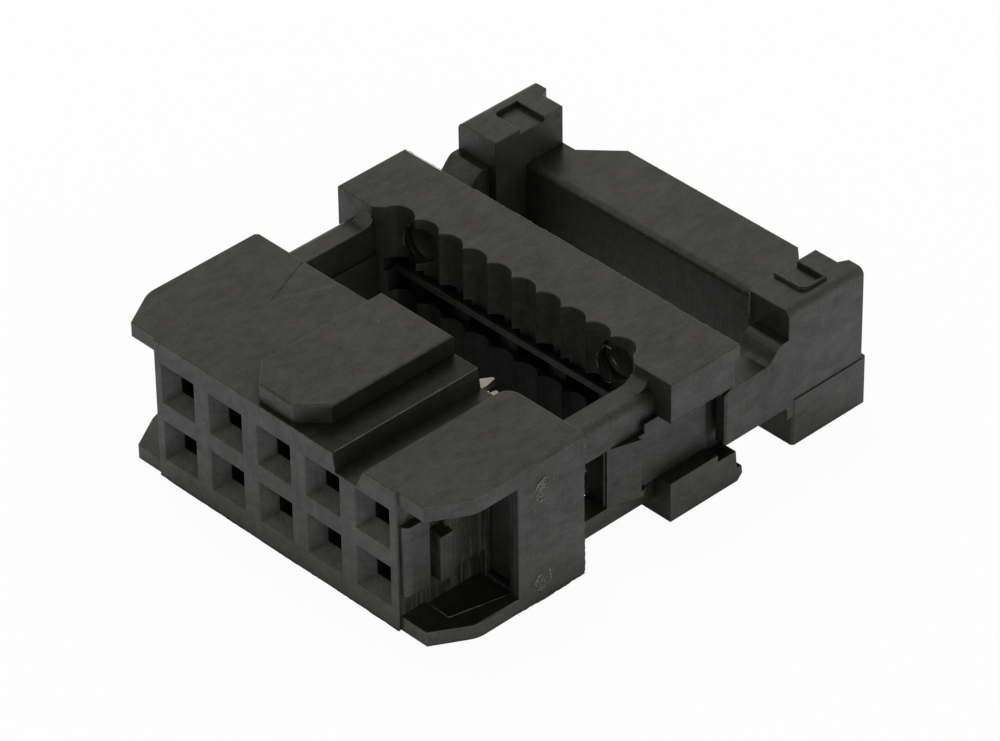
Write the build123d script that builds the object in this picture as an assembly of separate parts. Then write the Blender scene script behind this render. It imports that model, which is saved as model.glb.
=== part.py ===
from build123d import *
import math
import os

# Pin grid
pitch = 2.54
columns = 5
conductor_pitch = 1.27

# Clearance between pieces, overlap where shapes join, and how far a cut runs past a face
fit = 0.05
bury = 0.1
past = 1

# Socket housing
housing_length = 17.1
housing_height = 6.1
housing_depth = 7.0
core_gap = 0.1
plate_thickness = 0.61
ear_front = 0.1
ear_chamfer_across = 0.93
ear_chamfer_along = 1.6
ear_round = 1.2
end_wall_front = 3.68
end_wall_lip = 0.3
recess_depth = 3.9
edge_break = 0.06

# Pin holes
funnel_mouth = 1.76
funnel_depth = 0.5
pin_hole = 0.76
pin_hole_end = 1.1
cavity_width = 1.5
neck_room_start = 5.2
slot_start = 6.1

# Polarising key, top groove and mark for the first pin
key_width = 3.74
key_height = 0.78
key_front = 0.2
key_chamfer = 0.98
groove_left = 3.1
groove_width = 1.55
groove_depth = 0.8
groove_draft_left = 0.12
groove_draft_right = 0.35
groove_corner = 0.5
mark_width = 2.0
mark_length = 2.5
mark_depth = 0.015
mark_column = -5.06

# Shallow pockets, guide posts and catches inside the end recesses
floor_pocket_depth = 0.15
floor_pocket_front = 1.25
floor_pocket_narrow = 1.24
floor_pocket_wide = 1.84
post_front = 0.15
post_back = 1.26
post_width = 0.34
post_round = 0.28
post_height = 3.04
catch_start = 1.54
catch_length = 0.6
catch_rise = 0.59
catch_low = -1.4
catch_high = 0.68
catch_slope = 0.12
guide_rise = 0.3
guide_height = 2.8

# Ridges that part the cable on the back of the housing
ridge_width = 0.5
ridge_height = 0.22
ridge_length = 3.8

# Contacts
metal = 0.3
beam_tip = 1.25
beam_root = 4.4
base_end = 5.6
beam_width = 0.26
beam_gap_root = 0.72
beam_gap_touch = 0.42
beam_touch = 1.75
base_width = 1.24
barb_length = 0.5
neck_width = 0.64
neck_shift = 0.04
crank_overlap = 0.2
crank_shift = 0.1
fork_offset = 0.635
fork_level = 0.5
fork_start = 6.3
fork_end = 9.0
fork_width = 1.36
fork_slot = 0.34
fork_slot_start = 7.5
fork_point = 0.45
tine_flat_near = 0.1
tine_flat_far = 0.22
tine_step = 0.45
lifted_contact = 7
lift = 0.2

# Cable cover, open as delivered
cover_overhang = 0.1
cover_front = 11.1
cover_back = 14.3
cover_travel = 4.0
flange_thickness = 1.7
flange_lip = 0.25
flange_lip_height = 0.61
foot_lip = 0.48
foot_lip_height = 0.6
foot_lip_round = 0.25
foot_lip_draft = 0.04
foot_ledge = 0.2
lower_step_from = 13.5
lower_step_drop = 0.3
web_set_back = 0.55
web_back = 13.67
web_round = 0.14
wave_margin = 0.07
wave_radius = 0.72
wave_bottom = 12.0
wave_box_depth = 0.33
wave_flare = 0.4
channel_low = -0.75
channel_high = 0.52
channel_floor = 12.1
tine_pocket_floor = 13.2
tine_pocket_near = 0.18
tine_pocket_far = 0.75
tine_pocket_reach = 0.83
tine_wall = 0.24
rib_level = 0.25
rib_thickness = 0.28
rib_front = 11.72

# Blind round holes in the wave face
cup_level = 1.85
cup_radius = 0.8
cup_floor = 12.45
cup_dish = 0.25

# Arms of the cover
arm_set_back = 0.75
arm_room = 0.4
ledge_rise = 0.12
ledge_top = 1.0
arm_top = 2.3
arm_bottom = -2.39
arm_tip = 4.15
arm_round = 0.32
window_front = 5.82
window_back = 8.75
window_low = -1.62
window_high = 0.95
barb_relief = 0.15
barb_slope = 0.25
barb_end = 10.42
barb_rise = 0.42
barb_room = 0.2
barb_nose = 0.13
arm_tip_chamfer = 0.2
gusset = 0.5

# Strain relief, open as delivered
relief_travel = 2.0
beam_top = 1.4
beam_bottom = -2.0
beam_front = 18.72
beam_back = 22.0
beam_back_end = 20.65
beam_back_set = 2.13
beam_bevel = 1.45
beam_round = 0.3
block_overhang = 0.03
block_width = 2.03
block_front = 17.17
block_back = 20.65
block_ear = 0.75
block_ear_back = 21.05
block_ear_slope = 0.2
block_round = 0.3
foot_front = 17.42
foot_out = 0.04
foot_back = 21.3
foot_level = -1.0
foot_top_front = -1.75
foot_chamfer = 0.1
foot_lead = 0.35
pocket_front = 18.45
pocket_back = 19.68
pocket_wall = 0.56
pocket_depth = 0.2
pocket_round = 0.25
leg_front = 13.95
leg_height = 2.4
leg_root = 14.75
leg_round = 0.25
leg_chamfer = 0.08
leg_set = 0.4
leg_thickness = 0.5
ramp_start = 16.05
ramp_end = 16.85
ramp_top = 1.82
tongue_front = 13.5
tongue_set_back = 0.3
tongue_thickness = 0.45
tongue_height = 1.7
tongue_chamfer = 0.15
tongue_room = 0.1

# Worked out from the sizes above
half_height = housing_height / 2
half_length = housing_length / 2
row_length = columns * pitch
core_half = (row_length - core_gap) / 2
inner_level = half_height - plate_thickness
cover_half = half_length + cover_overhang
web_half = half_length - web_set_back
wave_half_length = row_length / 2 + wave_margin
cup_column = (columns - 1) / 2 * pitch
arm_outer = half_length - arm_set_back
arm_inner = core_half + arm_room
arm_thickness = arm_outer - arm_inner
arm_channel_inner = arm_inner - fit
arm_channel_outer = arm_outer + fit
barb_reach = arm_outer + barb_rise
flange_inner = half_height - flange_thickness
block_outer = half_length + block_overhang
block_inner = block_outer - block_width
beam_back_half = block_inner - beam_back_set
pocket_outer = block_outer - pocket_wall
leg_inner = block_inner + leg_set
tongue_outer = web_half - tongue_set_back
tongue_inner = tongue_outer - tongue_thickness
key_half = key_width / 2
pin_columns = [(i - (columns - 1) / 2) * pitch for i in range(columns)]


def block(x0, x1, y0, y1, z0, z1):
    """Right block between two corners."""
    middle = Pos((x0 + x1) / 2, (y0 + y1) / 2, (z0 + z1) / 2)
    return middle * Box(x1 - x0, y1 - y0, z1 - z0)


def plan(points, z0, z1):
    """Prism that stands on an outline seen from above."""
    face = make_face(Polyline(*points, close=True))
    return Pos(0, 0, z0) * extrude(face, z1 - z0, dir=(0, 0, 1))


def side(points, x0, x1):
    """Prism along X of an outline given as depth and height."""
    outline = [(x0, y, z) for y, z in points]
    face = make_face(Polyline(*outline, close=True))
    return extrude(face, x1 - x0, dir=(1, 0, 0))


def front(points, y0, y1):
    """Prism along the mating axis of an outline given as width and height."""
    outline = [(x, y0, z) for x, z in points]
    face = make_face(Polyline(*outline, close=True))
    return extrude(face, y1 - y0, dir=(0, 1, 0))


def both_ends(shape):
    """The shape with its mirror image at the other end."""
    return shape + mirror(shape, Plane.YZ)


def edges_near(shape, axis, x=None, y=None, z=None, reach=0.02):
    """Edges along an axis whose middle lies at the given places."""
    found = []
    for edge in shape.edges().filter_by(axis):
        middle = edge.center()
        places = ((x, middle.X), (y, middle.Y), (z, middle.Z))
        if all(want is None or abs(want - got) < reach for want, got in places):
            found.append(edge)
    return found


def save(shape, name):
    """One STEP file for each piece."""
    export_step(shape, f"parts/{name}.step")


# Socket housing

def housing_shell():
    """Plates, end walls and core, before the pin cavities."""
    chamfer_end = ear_front + ear_chamfer_along
    nose = half_length - ear_chamfer_across
    outline = [
        (-nose, ear_front),
        (nose, ear_front),
        (half_length, chamfer_end),
        (half_length, housing_depth),
        (-half_length, housing_depth),
        (-half_length, chamfer_end),
    ]
    shell = plan(outline, -half_height, half_height)
    bends = edges_near(shell, Axis.Z, x=half_length, y=chamfer_end)
    bends += edges_near(shell, Axis.Z, x=-half_length, y=chamfer_end)
    shell = fillet(bends, ear_round)
    corners = edges_near(shell, Axis.Z, x=half_length, y=housing_depth)
    corners += edges_near(shell, Axis.Z, x=-half_length, y=housing_depth)
    shell = chamfer(corners, edge_break * 2)
    shell -= both_ends(end_recess())
    core = block(-core_half, core_half, 0, recess_depth, -half_height, half_height)
    return shell + core + both_ends(recess_details())


def end_recess():
    """Latch recess, arm channel and room for the arm's barb, at one end."""
    open_side = half_length + past
    lip_inner = half_length - end_wall_lip
    mouth = [
        (core_half, -past),
        (open_side, -past),
        (open_side, end_wall_front),
        (lip_inner, end_wall_front),
        (lip_inner, recess_depth),
        (core_half, recess_depth),
    ]
    space = plan(mouth, -inner_level, inner_level)
    space += block(
        arm_channel_inner,
        arm_channel_outer,
        recess_depth - past,
        housing_depth + past,
        -inner_level,
        inner_level,
    )
    space += block(
        arm_inner - ledge_rise - fit,
        barb_reach + fit,
        window_back - cover_travel - barb_room,
        housing_depth + past,
        window_low - fit,
        ledge_top + fit,
    )
    pocket = [
        (core_half, floor_pocket_front),
        (core_half + floor_pocket_narrow, floor_pocket_front),
        (core_half + floor_pocket_wide, recess_depth),
        (core_half, recess_depth),
    ]
    reach = inner_level + floor_pocket_depth
    return space + plan(pocket, -reach, reach)


def recess_details():
    """Guide post, catch and guide plate beside the core, at one end."""
    buried = core_half - bury
    post = block(
        buried, core_half + post_width, post_front, post_back, -post_height / 2, post_height / 2
    )
    corner = edges_near(post, Axis.Z, x=core_half + post_width, y=post_front)
    post = fillet(corner, post_round)
    catch_end = catch_start + catch_length
    catch_out = core_half + catch_rise
    profile = [
        (buried, catch_low),
        (catch_out, catch_low),
        (catch_out, catch_high - catch_slope),
        (core_half, catch_high),
        (buried, catch_high),
    ]
    catch = front(profile, catch_start, catch_end)
    guide = block(
        buried,
        core_half + guide_rise,
        catch_end - bury,
        recess_depth + bury,
        -guide_height / 2,
        guide_height / 2,
    )
    return post + catch + guide


def key_block():
    """Polarising key on the top plate."""
    shoulder = key_front + key_chamfer
    outline = [
        (-key_half, housing_depth),
        (-key_half, shoulder),
        (-key_half + key_chamfer, key_front),
        (key_half - key_chamfer, key_front),
        (key_half, shoulder),
        (key_half, housing_depth),
    ]
    key = plan(outline, half_height - bury, half_height + key_height)
    top = key.edges().group_by(Axis.Z)[-1]
    return chamfer(top, edge_break)


def top_groove():
    """Draft-sided channel to the right of the key."""
    right = groove_left + groove_width
    floor = half_height - groove_depth
    outline = [
        (groove_left, half_height),
        (right, half_height),
        (right - groove_draft_right, floor),
        (groove_left + groove_draft_left, floor),
    ]
    worn = [
        (right - groove_draft_right, housing_depth - groove_corner),
        (right, housing_depth - groove_corner),
        (right + groove_corner * 0.12, housing_depth - groove_corner * 0.6),
        (right + groove_corner * 0.4, housing_depth - groove_corner * 0.25),
        (right + groove_corner, housing_depth),
        (right + groove_corner, housing_depth + past),
        (right - groove_draft_right, housing_depth + past),
    ]
    return front(outline, -past, housing_depth + past) + plan(worn, floor, half_height)


def first_pin_mark():
    """Triangle let into the top plate over the first pin."""
    outline = [
        (mark_column - mark_width / 2, housing_depth),
        (mark_column + mark_width / 2, housing_depth),
        (mark_column, housing_depth - mark_length),
    ]
    return plan(outline, half_height - mark_depth, half_height)


def cable_ridges():
    """Ridges between the conductors on the back of the housing."""
    tip = housing_depth + ridge_height
    ridges = []
    for i in range(-columns, columns + 1):
        x = i * conductor_pitch
        outline = [
            (x - ridge_width / 2, housing_depth - bury),
            (x + ridge_width / 2, housing_depth - bury),
            (x + ridge_width / 6, tip),
            (x - ridge_width / 6, tip),
        ]
        ridges.append(plan(outline, -ridge_length / 2, ridge_length / 2))
    return ridges


def pin_cavity(column, row):
    """Funnel, pin hole, spring cavity and fork slot of one contact."""
    level = row * pitch / 2
    mouth = Plane(origin=(column, 0, level), x_dir=(1, 0, 0), z_dir=(0, 1, 0))
    slope = math.degrees(math.atan((funnel_mouth - pin_hole) / 2 / funnel_depth))
    funnel = extrude(mouth * Rectangle(funnel_mouth, funnel_mouth), funnel_depth, taper=slope - 0.5)
    half_hole = pin_hole / 2
    half_cavity = cavity_width / 2
    hole = block(
        column - half_hole,
        column + half_hole,
        funnel_depth - bury,
        pin_hole_end + bury,
        level - half_hole,
        level + half_hole,
    )
    cavity = block(
        column - half_cavity,
        column + half_cavity,
        pin_hole_end,
        housing_depth + past,
        level - half_cavity,
        level + half_cavity,
    )
    near = fork_level - metal / 2 - fit
    far = fork_level + metal / 2 + fit
    low, high = sorted((row * near, row * (pitch / 2 + half_cavity)))
    neck_room = block(
        column - half_cavity, column + half_cavity, neck_room_start, housing_depth + past, low, high
    )
    middle = column - row * fork_offset
    reach = fork_width / 2 + fit
    low, high = sorted((row * near, row * far))
    slot = block(middle - reach, middle + reach, slot_start, housing_depth + past, low, high)
    return [funnel, hole, cavity, neck_room, slot]


def build_housing():
    """The whole housing as one solid."""
    housing = housing_shell() + key_block()
    housing = housing.fuse(*cable_ridges())
    cuts = [top_groove(), first_pin_mark()]
    for row in (1, -1):
        for column in pin_columns:
            cuts += pin_cavity(column, row)
    return housing.cut(*cuts)


# Contacts

def beam_outline(column, hand):
    """One spring beam, seen from above, that bows in to touch the pin."""
    root = column + hand * beam_gap_root / 2
    touch = column + hand * beam_gap_touch / 2
    tip = column + hand * (beam_gap_touch / 2 + 0.1)
    out = hand * beam_width
    inner = Spline((root, beam_root), (touch, beam_touch), (tip, beam_tip), tangents=((0, -1), (hand * 0.6, -1)))
    outer = Spline(
        (tip + out * 0.8, beam_tip),
        (touch + out * 0.85, beam_touch),
        (root + out, beam_root),
        tangents=((-hand * 0.6, 1), (0, 1)),
    )
    nose = Line(inner @ 1, outer @ 0)
    heel = Line(outer @ 1, inner @ 0)
    return make_face([inner, nose, outer, heel])


def build_contact(column, row, raised):
    """Twin-beam contact with a cable fork, stamped and cranked from sheet."""
    level = row * pitch / 2
    half = metal / 2
    sheet = extrude(beam_outline(column, 1), metal, dir=(0, 0, 1))
    sheet += extrude(beam_outline(column, -1), metal, dir=(0, 0, 1))
    side_reach = base_width / 2
    barb_reach_out = cavity_width / 2
    base = [
        (column - side_reach, beam_root),
        (column + side_reach, beam_root),
        (column + barb_reach_out, beam_root + barb_length),
        (column + side_reach, beam_root + barb_length),
        (column + side_reach, base_end),
        (column - side_reach, base_end),
        (column - side_reach, beam_root + barb_length),
        (column - barb_reach_out, beam_root + barb_length),
    ]
    sheet = Pos(0, 0, level - half) * sheet
    contact = sheet + plan(base, level - half, level + half)
    fork_height = row * fork_level
    up = row * half
    crank = [
        (base_end - crank_overlap, level - up),
        (base_end - crank_overlap, level + up),
        (base_end, level + up),
        (fork_start + crank_shift, fork_height + up),
        (fork_start + crank_overlap + crank_shift, fork_height + up),
        (fork_start + crank_overlap + crank_shift, fork_height - up),
        (fork_start, fork_height - up),
        (base_end - crank_shift, level - up),
    ]
    near_side, far_side = sorted((column + row * neck_shift, column - row * (neck_width - neck_shift)))
    contact += side(crank, near_side, far_side)
    middle = column - row * fork_offset
    reach = fork_width / 2
    gap = fork_slot / 2
    tall = [fork_end, fork_end - tine_step]
    if row < 0:
        tall.reverse()
    left_end, right_end = tall
    fork = [
        (middle - reach, fork_start + crank_shift),
        (middle + reach, fork_start + crank_shift),
        (middle + reach, right_end - fork_point),
        (middle + gap + tine_flat_far, right_end),
        (middle + gap + tine_flat_near, right_end),
        (middle + gap, right_end - fork_point),
        (middle + gap, fork_slot_start),
        (middle - gap, fork_slot_start),
        (middle - gap, left_end - fork_point),
        (middle - gap - tine_flat_near, left_end),
        (middle - gap - tine_flat_far, left_end),
        (middle - reach, left_end - fork_point),
    ]
    contact += plan(fork, fork_height - half, fork_height + half)
    return Pos(0, raised, 0) * contact


# Cable cover

def cover_section():
    """Flanged bar seen from the end: depth and height."""
    lip_back = cover_back + flange_lip
    foot_back_edge = cover_back + foot_lip
    return [
        (cover_front, -half_height),
        (foot_back_edge - foot_lip_round, -half_height),
        (foot_back_edge, -half_height + foot_lip_round),
        (foot_back_edge - foot_lip_draft, -half_height + foot_lip_height),
        (cover_back + foot_ledge, -half_height + foot_lip_height),
        (cover_back + foot_ledge / 2, -flange_inner),
        (cover_back, -flange_inner),
        (cover_back, half_height - flange_lip_height),
        (lip_back, half_height - flange_lip_height),
        (lip_back, half_height - edge_break),
        (lip_back - edge_break, half_height),
        (cover_front, half_height),
    ]


def wave_cuts():
    """Conductor grooves across the front of the cover."""
    tall = housing_height + 2 * past
    mouth = [
        (-wave_half_length, cover_front - past),
        (wave_half_length, cover_front - past),
        (wave_half_length, cover_front - fit),
        (wave_half_length + wave_flare, cover_front - fit),
        (wave_half_length + wave_flare, cover_front),
        (wave_half_length, cover_front + wave_box_depth),
        (-wave_half_length, cover_front + wave_box_depth),
        (-wave_half_length - wave_flare, cover_front),
        (-wave_half_length - wave_flare, cover_front - fit),
        (-wave_half_length, cover_front - fit),
    ]
    cuts = [plan(mouth, -tall / 2, tall / 2)]
    middle = wave_bottom - wave_radius
    for i in range(2 * columns):
        x = (i - columns + 0.5) * conductor_pitch
        cuts.append(Pos(x, middle, 0) * Cylinder(wave_radius, tall))
    return cuts


def tine_pockets():
    """Central channel and the pockets that the fork tines enter."""
    reach = wave_half_length
    near = tine_pocket_near
    far = tine_pocket_far
    floor = tine_pocket_floor
    mouth = cover_front - past
    cuts = [
        block(-reach, reach, mouth, channel_floor, near, channel_high),
        block(-reach, reach, mouth, channel_floor, channel_low, near),
    ]
    for column in pin_columns:
        upper = column - fork_offset
        lower = column + fork_offset
        wide = tine_pocket_reach
        wall = tine_wall / 2
        cuts += [
            block(upper - wide, upper - wall, mouth, floor, near, far),
            block(upper + wall, upper + wide, mouth, floor, near, far),
            block(lower - wide, lower + wide, mouth, floor, -far, -near),
        ]
    return cuts


def arm():
    """Right arm with its window, tip relief and snap barb."""
    corner_round = min(arm_round, arm_thickness / 3)
    root = cover_front + bury
    bar = block(arm_inner, arm_outer, arm_tip, root, arm_bottom, arm_top)
    bar = fillet(edges_near(bar, Axis.Y, x=arm_outer, z=arm_top), corner_round)
    nose = edges_near(bar, Axis.Z, x=arm_outer, y=arm_tip)
    bar = chamfer(nose, min(arm_tip_chamfer, arm_thickness / 3))
    bar -= block(arm_inner - past, arm_outer + past, window_front, window_back, window_low, window_high)
    barb_inner = arm_inner + barb_relief * arm_thickness
    barb = [
        (barb_inner, window_back - bury / 2),
        (arm_outer - barb_nose, window_back - bury / 2),
        (arm_outer, window_back + barb_nose),
        (barb_reach, barb_end - barb_slope),
        (barb_reach - barb_nose, barb_end),
        (barb_inner, barb_end + bury),
    ]
    bar += plan(barb, window_low, window_high)
    ledge = block(arm_inner - ledge_rise, arm_inner + bury, window_back, root, window_low, ledge_top)
    steps = 6
    turns = [math.pi / 2 * i / steps for i in range(steps + 1)]
    hollow = [
        (cover_front - gusset * (1 - math.sin(a)), arm_top + gusset * (1 - math.cos(a))) for a in turns
    ]
    corner = [(root, arm_top + gusset), (root, arm_top - bury), (cover_front - gusset, arm_top - bury)]
    return bar + ledge + side(hollow + corner, arm_inner, arm_outer - corner_round)


def cup(hand):
    """Blind round hole with a dished floor, to cut into the wave face."""
    mouth = cover_front - past
    seat = Plane(origin=(hand * cup_column, mouth, cup_level), z_dir=(0, 1, 0))
    bore = extrude(seat * Circle(cup_radius), cup_floor - mouth)
    ball = (cup_radius**2 + cup_dish**2) / (2 * cup_dish)
    dome = Pos(hand * cup_column, cup_floor - ball, cup_level) * Sphere(ball)
    return bore & dome


def cover_ends():
    """Spaces beside the web at one end, where the strain relief slides."""
    outside = cover_half + past
    behind = cover_back + past
    space = block(web_half, outside, cover_front - past, behind, -flange_inner, flange_inner)
    behind_web = [
        (web_half - web_round, web_back),
        (web_half - web_round * 0.3, web_back - web_round * 0.3),
        (web_half, web_back - web_round),
        (outside, web_back - web_round),
        (outside, behind),
        (web_half - web_round, behind),
    ]
    space += plan(behind_web, -flange_inner - lower_step_drop, flange_inner)
    space += block(
        web_half,
        outside,
        lower_step_from,
        behind,
        -flange_inner - lower_step_drop,
        -flange_inner + bury,
    )
    guide_end = tongue_front - relief_travel - tongue_room
    half_tongue = tongue_height / 2 + fit
    space += block(
        tongue_inner - fit, tongue_outer + fit, guide_end, behind, -half_tongue, half_tongue
    )
    return space


def build_cover():
    """The cable cover as one solid."""
    bar = side(cover_section(), -cover_half, cover_half)
    web = block(
        arm_inner, web_half, barb_end, cover_front + bury, -flange_inner, flange_inner
    )
    bar = bar + both_ends(web) + both_ends(arm())
    bar = bar.cut(*wave_cuts(), *tine_pockets(), cup(-1), cup(1), both_ends(cover_ends()))
    low = rib_level - rib_thickness / 2
    reach = wave_half_length + bury
    rib = block(-reach, reach, rib_front, channel_floor + bury, low, low + rib_thickness)
    return bar + rib


# Strain relief

def relief_beam():
    """Low cross beam that clamps the cable."""
    buried = block_inner + bury
    bevel_end = beam_back_half + beam_bevel
    outline = [
        (-buried, beam_front),
        (buried, beam_front),
        (buried, beam_back_end),
        (bevel_end, beam_back_end),
        (beam_back_half, beam_back),
        (-beam_back_half, beam_back),
        (-bevel_end, beam_back_end),
        (-buried, beam_back_end),
    ]
    beam = plan(outline, beam_bottom, beam_top)
    return fillet(edges_near(beam, Axis.X, y=beam_front), beam_round)


def relief_block():
    """Right end block with its foot and the pocket in its top."""
    outline = [
        (block_inner, block_front),
        (block_outer, block_front),
        (block_outer, block_ear_back),
        (block_outer - block_ear, block_ear_back),
        (block_outer - block_ear - block_ear_slope, block_back),
        (block_inner, block_back),
    ]
    body = plan(outline, foot_top_front, half_height)
    body = fillet(edges_near(body, Axis.Y, x=block_outer, z=half_height), block_round)
    outline = [
        (block_inner - past, pocket_front),
        (pocket_outer, pocket_front),
        (pocket_outer, pocket_back),
        (block_inner - past, pocket_back),
    ]
    pocket = plan(outline, half_height - pocket_depth, half_height + past)
    pocket = fillet(edges_near(pocket, Axis.Z, x=pocket_outer, y=pocket_front), pocket_round)
    foot = block(
        block_inner, block_outer + foot_out, foot_front, foot_back, -half_height, foot_level
    )
    foot = chamfer(edges_near(foot, Axis.Z, x=block_outer + foot_out), foot_chamfer)
    return body + foot - pocket


def relief_leg():
    """Right leg that slides beside the cover, with its guide tongue."""
    half_leg = leg_height / 2
    rise = ramp_top - half_leg
    run = ramp_end - ramp_start
    steps = 8
    shares = [i / steps for i in range(steps + 1)]
    ramp = [(ramp_start + run * t, half_leg + rise * t * t * (3 - 2 * t)) for t in shares]
    buried = max(block_front, foot_front) + bury
    root = [
        (leg_root, half_leg),
        (leg_root, -half_leg),
        (foot_front - foot_lead, -half_leg),
        (foot_front + bury / 2, foot_top_front),
        (buried, foot_top_front),
        (buried, ramp_top),
    ]
    leg = side(root + ramp[::-1], leg_inner, block_outer)
    nose = [
        (leg_front, -half_leg),
        (leg_root + bury, -half_leg),
        (leg_root + bury, half_leg),
        (leg_front + leg_round, half_leg),
        (leg_front + leg_round * 0.3, half_leg - leg_round * 0.3),
        (leg_front, half_leg - leg_round),
    ]
    plate = side(nose, block_outer - leg_thickness, block_outer)
    plate = chamfer(edges_near(plate, Axis.Z, x=block_outer, y=leg_front), leg_chamfer)
    half_tongue = tongue_height / 2
    tongue = block(
        tongue_inner, tongue_outer, tongue_front, leg_root + bury, -half_tongue, half_tongue
    )
    tongue = chamfer(edges_near(tongue, Axis.X, y=tongue_front), tongue_chamfer)
    return leg + plate + tongue


def build_relief():
    """The strain relief as one solid."""
    return relief_beam() + both_ends(relief_block() + relief_leg())


os.makedirs("parts", exist_ok=True)
save(build_housing(), "socket_housing")
save(build_cover(), "cable_cover")
save(build_relief(), "strain_relief")
number = 0
for column in pin_columns:
    for row in (1, -1):
        number += 1
        raised = lift if number == lifted_contact else 0
        save(build_contact(column, row, raised), f"contact_{number:02d}")
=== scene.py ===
"""Looks of the ribbon-cable socket: moulded plastic, tinned contacts, small moulding marks with some painted
shade and highlights, and the studio.
"""

import math
import random

import bpy
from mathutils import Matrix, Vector


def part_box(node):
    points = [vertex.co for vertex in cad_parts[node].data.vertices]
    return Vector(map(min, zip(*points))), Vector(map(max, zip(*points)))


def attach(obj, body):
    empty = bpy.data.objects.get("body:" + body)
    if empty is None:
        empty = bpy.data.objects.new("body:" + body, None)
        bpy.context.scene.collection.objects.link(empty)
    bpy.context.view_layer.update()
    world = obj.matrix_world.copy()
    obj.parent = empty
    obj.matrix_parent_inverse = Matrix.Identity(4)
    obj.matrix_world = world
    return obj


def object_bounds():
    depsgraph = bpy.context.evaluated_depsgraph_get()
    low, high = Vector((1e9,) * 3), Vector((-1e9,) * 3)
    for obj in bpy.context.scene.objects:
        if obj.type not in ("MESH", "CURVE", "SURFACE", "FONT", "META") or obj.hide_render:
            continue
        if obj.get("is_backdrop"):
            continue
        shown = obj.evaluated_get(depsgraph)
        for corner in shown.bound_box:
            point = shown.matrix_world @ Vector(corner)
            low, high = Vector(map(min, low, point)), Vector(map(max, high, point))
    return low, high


bl_info = {
    "name": "Ribbon cable socket looks",
    "version": (1, 0, 0),
    "blender": (4, 5, 0),
    "location": "3D View > Sidebar > Socket",
    "description": "Dresses the packed socket in procedural plastic and tin and sets up its studio",
    "category": "Object",
}

MM = 0.001

# Places on the part in millimetres, as modelled
TOP = 3.05
FLOOR = -2.44
CORE_HALF = 6.3
HALF_LENGTH = 8.55
WALL_BACK = 7.0
WALL_CHAMFER = 0.06
KEY_HALF = 1.87
GROOVE_LEFT = 3.1
GROOVE_RIGHT = 4.65
COVER_HALF = 8.65
COVER_FRONT = 11.12
COVER_FLANGE_BACK = 14.24
COVER_BACK = 14.55
FLANGE_UNDERSIDE = 1.36
WAVE_BACK = 12.6
POCKET_OUTER = 8.02
POCKET_FRONT = 18.45
POCKET_BACK = 19.68
POCKET_CORNER = 0.25
BLOCK_INNER = 6.55
BLOCK_FRONT = 17.17
RAMP_TOP = 1.82
TOP_EDGE = TOP - 0.02
WALL_CORNER = (HALF_LENGTH - WALL_CHAMFER, WALL_BACK - WALL_CHAMFER)
RAGGED_FROM = 1.4
RAGGED_TO = 2.9
RIM_START = BLOCK_INNER + 0.02
RIB_ACROSS = BLOCK_INNER + 0.05

# Where shaded places fade in and out, in millimetres
RECESS_FADE = 0.1
WAVE_FADE = 0.1
LOW_WAVES_FROM = 0.4
LOW_WAVES_TO = -0.6
STRIP_FADE = 0.03
STRIP_DEEP = 0.1
STRIP_FULL = 0.05

# Paths of flash in millimetres, each with the way that it stands up and its share of the height
FLASH = (
    (((-CORE_HALF, 0.0, TOP_EDGE), (GROOVE_LEFT, 0.0, TOP_EDGE)), (0, -1, 1), 1.0),
    (((GROOVE_RIGHT, 0.0, TOP_EDGE), (CORE_HALF, 0.0, TOP_EDGE)), (0, -1, 1), 1.0),
    (((CORE_HALF, 0.02, -TOP), (CORE_HALF, 0.02, TOP)), (1, -1, 0), 1.2),
    (((-CORE_HALF, 0.0, -TOP), (CORE_HALF, 0.0, -TOP)), (0, -1, -1), 0.5),
    (((HALF_LENGTH, 3.7, -TOP), (HALF_LENGTH, 6.9, -TOP)), (1, 0, -1), 1.0),
    (((*WALL_CORNER, -TOP), (*WALL_CORNER, RAGGED_FROM)), (1, 1, 0), 0.8),
    (((*WALL_CORNER, RAGGED_FROM), (*WALL_CORNER, RAGGED_TO)), (1, 1, 0), 3.0),
    (((GROOVE_LEFT, 0.1, TOP), (GROOVE_LEFT, WALL_BACK, TOP)), (1, 0, 1), 0.6),
    (((-COVER_HALF, COVER_BACK, TOP_EDGE), (COVER_HALF, COVER_BACK, TOP_EDGE)), (0, 1, 1), 0.8),
    (
        ((COVER_HALF, COVER_FRONT, FLANGE_UNDERSIDE), (COVER_HALF, COVER_FLANGE_BACK, FLANGE_UNDERSIDE)),
        (1, 0, -1),
        0.8,
    ),
    (((CORE_HALF, 1.25, FLOOR), (7.54, 1.25, FLOOR), (8.14, 3.85, FLOOR)), (0, 0, 1), 0.9),
    (((7.62, 0.1, TOP), (8.5, 1.55, TOP), (HALF_LENGTH, 2.1, TOP), (HALF_LENGTH, 4.6, TOP)), (1, 0, 1), 0.6),
    (((7.62, 0.1, FLOOR), (8.5, 1.55, FLOOR), (HALF_LENGTH, 3.6, FLOOR)), (1, 0, 1), 0.6),
)

# Torn edges of the cups in the wavy face and the painted glint in the right one, in millimetres
CUP_BURRS = (
    (
        (-5.79, 12.0, 2.33),
        (-5.93, 11.97, 2.05),
        (-5.99, 11.95, 1.72),
        (-6.0, 11.94, 1.4),
        (-5.91, 11.97, 1.18),
    ),
    ((-5.75, 12.0, 1.08), (-5.78, 12.0, 0.8), (-5.8, 11.99, 0.56), (-5.62, 11.99, 0.61)),
    (
        (4.42, 12.0, 2.15),
        (4.23, 11.97, 1.89),
        (4.12, 11.92, 1.63),
        (4.11, 11.92, 1.36),
        (4.16, 11.94, 1.06),
    ),
    (
        (4.16, 11.94, 1.06),
        (4.25, 11.97, 0.82),
        (4.38, 12.0, 0.63),
        (4.72, 11.94, 0.68),
        (4.95, 11.85, 0.8),
    ),
    ((4.45, 12.0, 2.14), (4.67, 11.96, 2.18), (5.02, 11.74, 2.42)),
)
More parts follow.
